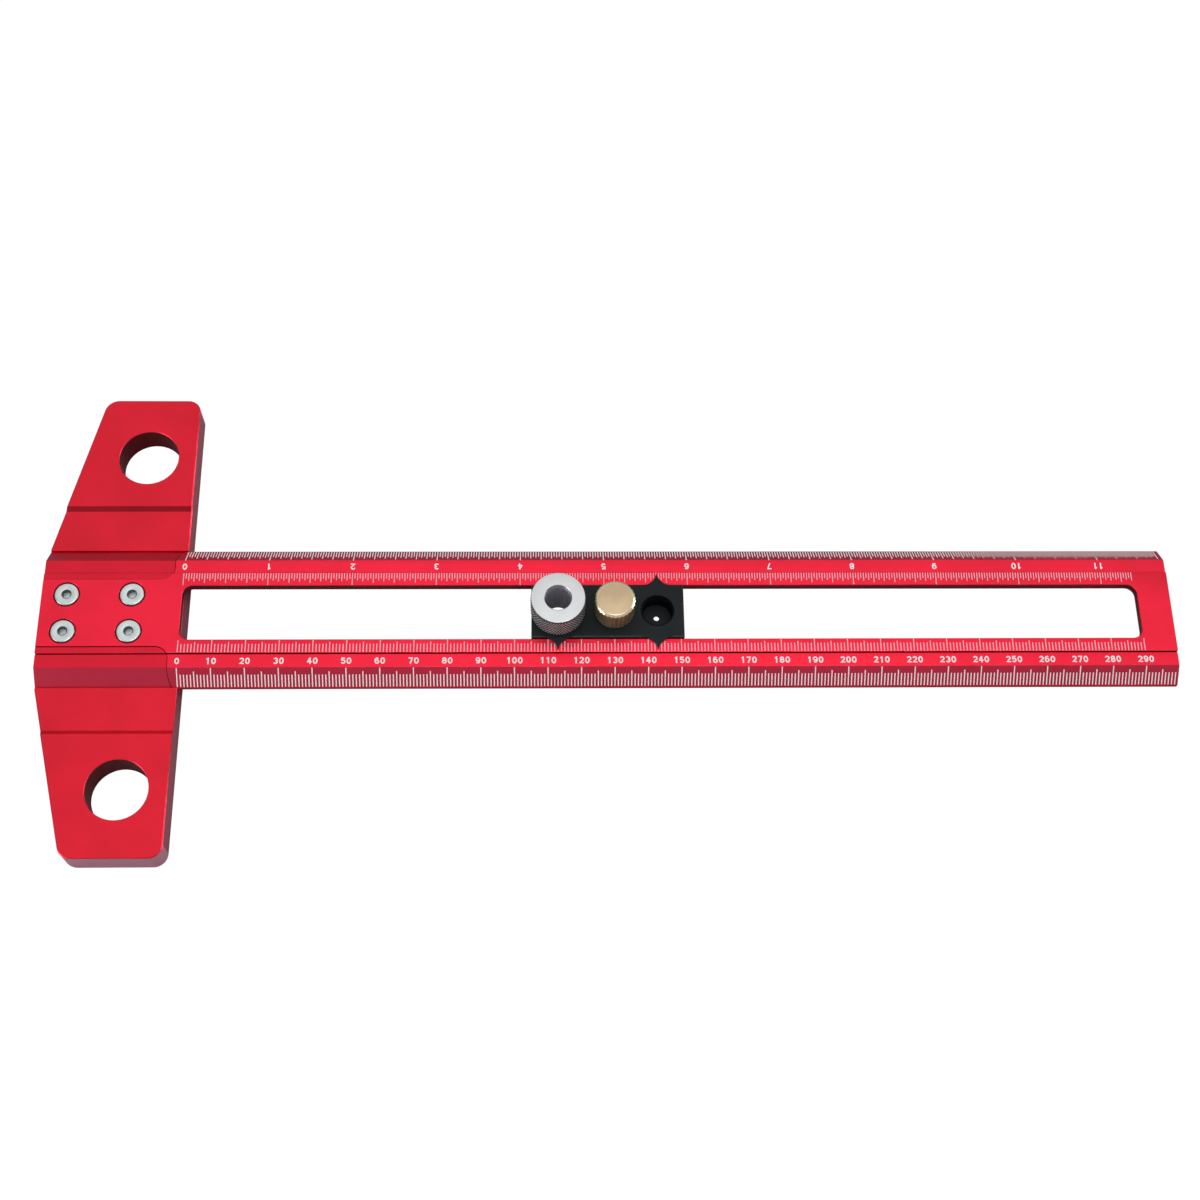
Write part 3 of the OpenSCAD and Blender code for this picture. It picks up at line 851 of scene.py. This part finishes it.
MARK_RISE, MARK_SINK = 0.02, 0.03   # how far the white marks stand above the metal and reach into it
BEVEL_MARK, RAIL_MARK = 0, 1        # material slots: the marks on the rails are fainter
INCH, METRIC_END = 25.4, 290        # METRIC_END is the last numbered millimetre
NUMERAL_W, NUMERAL_H, NUMERAL_PITCH, PEN = 1.42, 2.05, 1.72, 0.4
RAMP = Vector((STRIP_HALF - EDGE_HALF, STRIP_Z - LAND_Z))      # up the bevel from its thin edge, in Y-Z


def bar(bm, x, width, side, foot, tip, normal, slot):
    """One tick: a thin bar across the scale at x, from foot to tip, both points in the Y-Z plane."""
    lift, sink = normal * MARK_RISE, normal * -MARK_SINK
    rings = []
    for dx in (-width / 2, width / 2):
        rings.append([(x + dx, side * p.x, p.y) for p in (foot + sink, tip + sink, tip + lift, foot + lift)])
    first = len(bm.faces)
    loft(bm, rings, [slot])
    bm.faces.ensure_lookup_table()
    for face in bm.faces[first:]:
        face.material_index = slot


def ticks(bm, side, lines, inner_lengths, bevel_lengths, inner_end, width):
    """The ticks of one scale. lines lists (x, rank), and the lengths are looked up by rank. The rail's lines
    stop at inner_end."""
    up = Vector((0, 1))
    slope = Vector((RAMP.y, -RAMP.x)).normalized()
    along = RAMP.normalized()
    near = EASE + 0.25
    thin = Vector((EDGE_HALF, LAND_Z))
    foot = Vector((RAIL_HALF - EASE - 0.05, RAIL_Z))
    for x, rank in lines:
        if x <= inner_end:
            tip = foot - Vector((inner_lengths[rank] - 0.2, 0))
            bar(bm, x, width * 0.85, side, foot, tip, up, RAIL_MARK)
        far = near + (RAMP.length - near) * bevel_lengths[rank]
        bar(bm, x, width, side, thin + along * near, thin + along * far, slope, BEVEL_MARK)


def strokes(digit):
    """The pen's paths for a plain digit that stands on y = 0, centred on x = 0. A path that ends where it
    starts is closed."""
    w, h = (NUMERAL_W - PEN) / 2, NUMERAL_H - PEN
    upper, lower, bowl = 0.235 * h, 0.265 * h, 0.31 * h
    nib = PEN / 2
    six = [oval(0, bowl, w, bowl, 0, 360), oval(0, h / 2, w, h / 2, 42, 180) + [Vector((-w, bowl))]]
    paths = {
        "0": [oval(0, h / 2, w, h / 2, 0, 360, 24)],
        "1": [[(0.1, -nib), (0.1, h + nib)], [(-0.36, h - 0.36), (0.1, h - 0.02)]],
        "2": [oval(0, h - 0.29 * h, w, 0.29 * h, 165, -35) + [Vector((-w, 0)), Vector((w + nib, 0))]],
        "3": [oval(0, h - upper, 0.92 * w, upper, 155, -90), oval(0, lower, w, lower, 90, -155)],
        "4": [[(0.12, h), (-w - 0.04, 0.3 * h), (w + nib, 0.3 * h)], [(0.2, h + nib), (0.2, -nib)]],
        "5": [[(w, h), (-0.74 * w, h), (-0.9 * w, 0.48 * h)], oval(0, bowl, w, bowl, 135, -155)],
        "6": six,
        "7": [[(-w - 0.1, h), (w, h), (-0.16, -nib)]],
        "8": [oval(0, h - upper, 0.88 * w, upper, 0, 360), oval(0, lower, w, lower, 0, 360)],
        "9": [[Vector((-p.x, h - p.y)) for p in path] for path in six],
    }
    return [[Vector(p) for p in path] for path in paths[digit]]


def plate_along(path):
    """A thin plate as wide as the pen along a path, its corners mitred but not to sharp points."""
    closed = (path[0] - path[-1]).length < 0.001
    if closed:
        path = path[:-1]
    count = len(path)
    sides = []
    for i, point in enumerate(path):
        ways = []
        if closed or i > 0:
            ways.append((point - path[i - 1]).normalized())
        if closed or i < count - 1:
            ways.append((path[(i + 1) % count] - point).normalized())
        normals = [Vector((-way.y, way.x)) for way in ways]
        across = (normals[0] + normals[-1]) / (1 + normals[0].dot(normals[-1]))
        across *= min(1, 1.5 / across.length) * PEN / 2
        sides.append((point + across, point - across))
    bm = bmesh.new()
    rings = []
    for near, far in sides:
        rings.append([bm.verts.new((p.x, p.y, z)) for p, z in ((near, -MARK_SINK), (far, -MARK_SINK),
                                                               (far, MARK_RISE), (near, MARK_RISE))])
    for first, second in list(zip(rings, rings[1:])) + ([(rings[-1], rings[0])] if closed else []):
        for i in range(4):
            j = (i + 1) % 4
            bm.faces.new((first[i], first[j], second[j], second[i]))
    if not closed:
        bm.faces.new(rings[0])
        bm.faces.new(rings[-1])
    return to_mesh(bm, "stroke")


def numerals(labels, y, turn):
    """Every label of one scale in one mesh. labels lists (x, text)."""
    digits = {}
    for digit in sorted(set("".join(text for _, text in labels))):
        plates = [plate_along(path) for path in strokes(digit)]
        digits[digit] = combine(plates[0], plates[1:], "UNION")
    bm = bmesh.new()
    for x, text in labels:
        here = Matrix.Translation((x, y, STRIP_Z)) @ Matrix.Rotation(math.radians(turn), 4, "Z")
        for i, digit in enumerate(text):
            along = (i - (len(text) - 1) / 2) * NUMERAL_PITCH
            mesh = digits[digit].copy()
            mesh.transform(here @ Matrix.Translation((along, (PEN - NUMERAL_H) / 2, 0)))
            bm.from_mesh(mesh)
            bpy.data.meshes.remove(mesh)
    for face in bm.faces:
        face.material_index = SURFACE
    return to_mesh(bm, "numerals")


def places(count, step, ranks):
    """(x, rank) of each of count lines that stand step apart. The rank is the first of ranks that divides the
    line's number."""
    return [(i * step, next(rank for rank in ranks if i % rank == 0)) for i in range(count)]


def metric_ticks():
    bm = bmesh.new()
    ticks(bm, -1, places(int(TIP_X), 1, (10, 5, 1)), {10: 4.1, 5: 3.4, 1: 2.8},
          {10: 0.96, 5: 0.78, 1: 0.62}, METRIC_END, 0.31)
    return to_mesh(bm, "metric_ticks")


def inch_ticks():
    bm = bmesh.new()
    ticks(bm, 1, places(int(11.75 * 32) + 1, INCH / 32, (32, 8, 4, 2, 1)),
          {32: 4.1, 8: 3.4, 4: 2.9, 2: 2.6, 1: 2.0},
          {32: 1.0, 8: 0.88, 4: 0.78, 2: 0.68, 1: 0.57}, 11.4 * INCH, 0.28)
    return to_mesh(bm, "inch_ticks")


# ------------------------------------------------------------------ every piece, on its body

make_piece("blade_body", blade(), "square",
           [red_skin, red_edge_highlight, red_wall_painted_shade, red_milled, red_bevel_painted_shade_and_reflection, red_painted_shadow_line], ["blade"])
make_piece("head_body", head(), "square",
           [red_head, red_edge_highlight, red_wall_painted_shade, red_side_painted_reflection, red_slope_painted_shade, red_end_painted_reflection], ["head"])
make_piece("metric_graduations", metric_ticks(), "square", [white_mark, faint_mark])
make_piece("inch_graduations", inch_ticks(), "square", [white_mark, faint_mark])
make_piece("metric_numerals", numerals([(x, str(x)) for x in range(0, METRIC_END + 1, 10)], -15.5, 0),
           "square", [white_mark])
make_piece("inch_numerals", numerals([(i * INCH, str(i)) for i in range(12)], 15.4, 180),
           "square", [white_mark])
for i, place in enumerate(SCREWS, 1):
    face = turned("screw_face_%d" % i, STEEL, STEEL_DARK, place, 0.46, 0.3, 0.001)
    edge = milled("screw_rim_%d" % i, STEEL, STEEL_DARK, 0.3)
    # The socket and its countersink take near-black steel: painted shade in the recess.
    socket = milled("screw_socket_%d" % i, (0.07, 0.075, 0.08), (0.035, 0.04, 0.042), 0.3, 0.6)
    make_piece("screw_%d" % i, screw(place), "square", [face, edge, socket],
               ["blade_screw_%d" % i])
make_piece("slider", slider(), "slider", [black_skin, black_edge, black_wall_painted_shade],
           ["slider_body"])
make_piece("washer", washer(), "slider", [nylon], ["knob_washer"])
plate_skin = milled("plate_steel", (0.50, 0.51, 0.53), (0.36, 0.37, 0.39), 0.45)
plate_edge = milled("plate_edge", (0.66, 0.67, 0.69), (0.5, 0.51, 0.53), 0.35)
make_piece("plate", clamp_plate(), "clamp", [plate_skin, plate_edge, plate_edge],
           ["clamp_plate"])
stud_steel = milled("stud_steel", (0.56, 0.57, 0.59), (0.38, 0.39, 0.41), 0.35)
make_piece("stud", lock_stud(), "knob", [stud_steel], ["lock_stud"])
knob_centre = (KNOB_X, 0)
brass_face = turned("brass_face", (0.60, 0.45, 0.285), (0.47, 0.345, 0.215), knob_centre, 0.40, 0.28, 0.0015)
# Painted highlight: a lighter copy of the brass for the crown and the foot.
brass_edge_painted_highlight = milled("brass_edge_painted_highlight", (1.0, 0.88, 0.66), (0.94, 0.78, 0.52), 0.24)
# Painted shade: a darker, less metallic copy of the brass for the flutes.
brass_side_painted_shade = milled("brass_knurl_painted_shade", (0.34, 0.28, 0.17), (0.20, 0.16, 0.09), 0.28, 0.5)
make_piece("knob", lock_knob(), "knob", [brass_face, brass_edge_painted_highlight, brass_side_painted_shade], ["lock_knob"])
guide_centre = (GUIDE_X, 0)
collar_skin = turned("collar_face", (0.80, 0.815, 0.825), (0.72, 0.735, 0.745), guide_centre, 0.62, 0.3, 0.0002)
collar_edge = milled("collar_edge", (0.70, 0.71, 0.73), (0.52, 0.53, 0.55), 0.3)
collar_knurl = milled("collar_knurl", (0.74, 0.80, 0.81), (0.60, 0.66, 0.67), 0.3, 0.3)
# Painted shade for the sloping faces of the knurl.
collar_shade = milled("collar_shade", (0.16, 0.18, 0.185), (0.09, 0.10, 0.105), 0.3, 0.4)
make_piece("collar", guide_collar(), "collar",
           [collar_skin, collar_edge, collar_knurl, collar_shade], ["guide_collar"])
liner_bore = turned("liner_bore", (0.60, 0.60, 0.66), (0.46, 0.46, 0.52), guide_centre, 0.36, 0.4, 0.001, 0.45)
liner_thread = milled("liner_thread", (0.46, 0.47, 0.50), (0.30, 0.31, 0.33), 0.34)
make_piece("liner", guide_liner(), "liner", [liner_bore, liner_thread, liner_thread],
           ["guide_liner"])


# ------------------------------------------------------------------ floor, light, camera

def sheet_of_paper(name, z, tone, glow, seen):
    """A floor. seen says whether the camera sees it or the object is lit by it: a cut-out background does the
    first, and the table under the object the second."""
    bm = bmesh.new()
    half = 3.0                                              # metres, like z
    corners = ((-half, -half, z), (half, -half, z), (half, half, z), (-half, half, z))
    bm.faces.new([bm.verts.new(p) for p in corners])
    mesh = bpy.data.meshes.new(name)
    bm.to_mesh(mesh)
    bm.free()
    n = Nodes(name)
    fine = n.noise(2.0, 3)
    color = n.blend(n.span(fine, 0, 1, 0.3, 0.7), (tone,) * 3, (tone * 0.96,) * 3)
    mesh.materials.append(n.finish(color, n.span(fine, 0.7, 0.85)))
    n.shader.inputs["Emission Color"].default_value = (1, 1, 1, 1)
    n.shader.inputs["Emission Strength"].default_value = glow
    plane = bpy.data.objects.new(name, mesh)
    bpy.context.scene.collection.objects.link(plane)
    plane.visible_camera = seen
    plane.visible_diffuse = plane.visible_glossy = plane.visible_transmission = not seen
    plane.visible_shadow = not seen


def softbox(name, azimuth, elevation, distance, size, power):
    """A square area light that faces the middle of the blade. Azimuth 0 is on the camera's side."""
    a, e = math.radians(azimuth), math.radians(elevation)
    away = Vector((math.sin(a) * math.cos(e), -math.cos(a) * math.cos(e), math.sin(e)))
    light = bpy.data.lights.new(name, "AREA")
    light.shape, light.size, light.energy = "SQUARE", size, power
    lamp = bpy.data.objects.new(name, light)
    lamp.location = Vector((0.12, 0, 0)) + away * distance
    lamp.rotation_mode = "QUATERNION"
    lamp.rotation_quaternion = away.to_track_quat("Z", "Y")
    bpy.context.scene.collection.objects.link(lamp)


def camera():
    elevation, yaw, roll = (math.radians(a) for a in (65.79, 4.26, 3.81))
    target = Vector((125.744, 3.871, RAIL_Z)) * MM
    distance = 551.0 * MM
    level = math.cos(elevation)
    ahead = Vector((math.sin(yaw) * level, math.cos(yaw) * level, -math.sin(elevation)))
    right = Vector((math.cos(yaw), -math.sin(yaw), 0))
    up = right.cross(ahead)
    axes = Matrix((math.cos(roll) * right + math.sin(roll) * up,
                   math.cos(roll) * up - math.sin(roll) * right, -ahead)).transposed()
    lens = bpy.data.cameras.new("camera")
    lens.sensor_width, lens.lens = 36, 54.65
    lens.clip_start, lens.clip_end = 0.01, 20
    view = bpy.data.objects.new("camera", lens)
    view.matrix_world = Matrix.Translation(target - ahead * distance) @ axes.to_4x4()
    bpy.context.scene.collection.objects.link(view)
    bpy.context.scene.camera = view


def surroundings():
    world = bpy.data.worlds.new("studio")
    world.use_nodes = True
    world.node_tree.nodes["Background"].inputs["Color"].default_value = (1, 1, 1, 1)
    world.node_tree.nodes["Background"].inputs["Strength"].default_value = 0.46
    bpy.context.scene.world = world
    bpy.context.scene.view_settings.view_transform = "Standard"
    softbox("key", 176, 66, 3.2, 3.2, 20)
    softbox("top", 20, 80, 1.5, 0.6, 4)
    softbox("left", -65, 14, 1.2, 0.6, 4.0)
    softbox("right", 100, 10, 1.2, 0.6, 3.5)


sheet_of_paper("background", (FENCE_Z - 0.6) * MM, 0.3, 0.97, True)
sheet_of_paper("table", (FENCE_Z - 0.3) * MM, 0.3, 0.0, False)
surroundings()
camera()
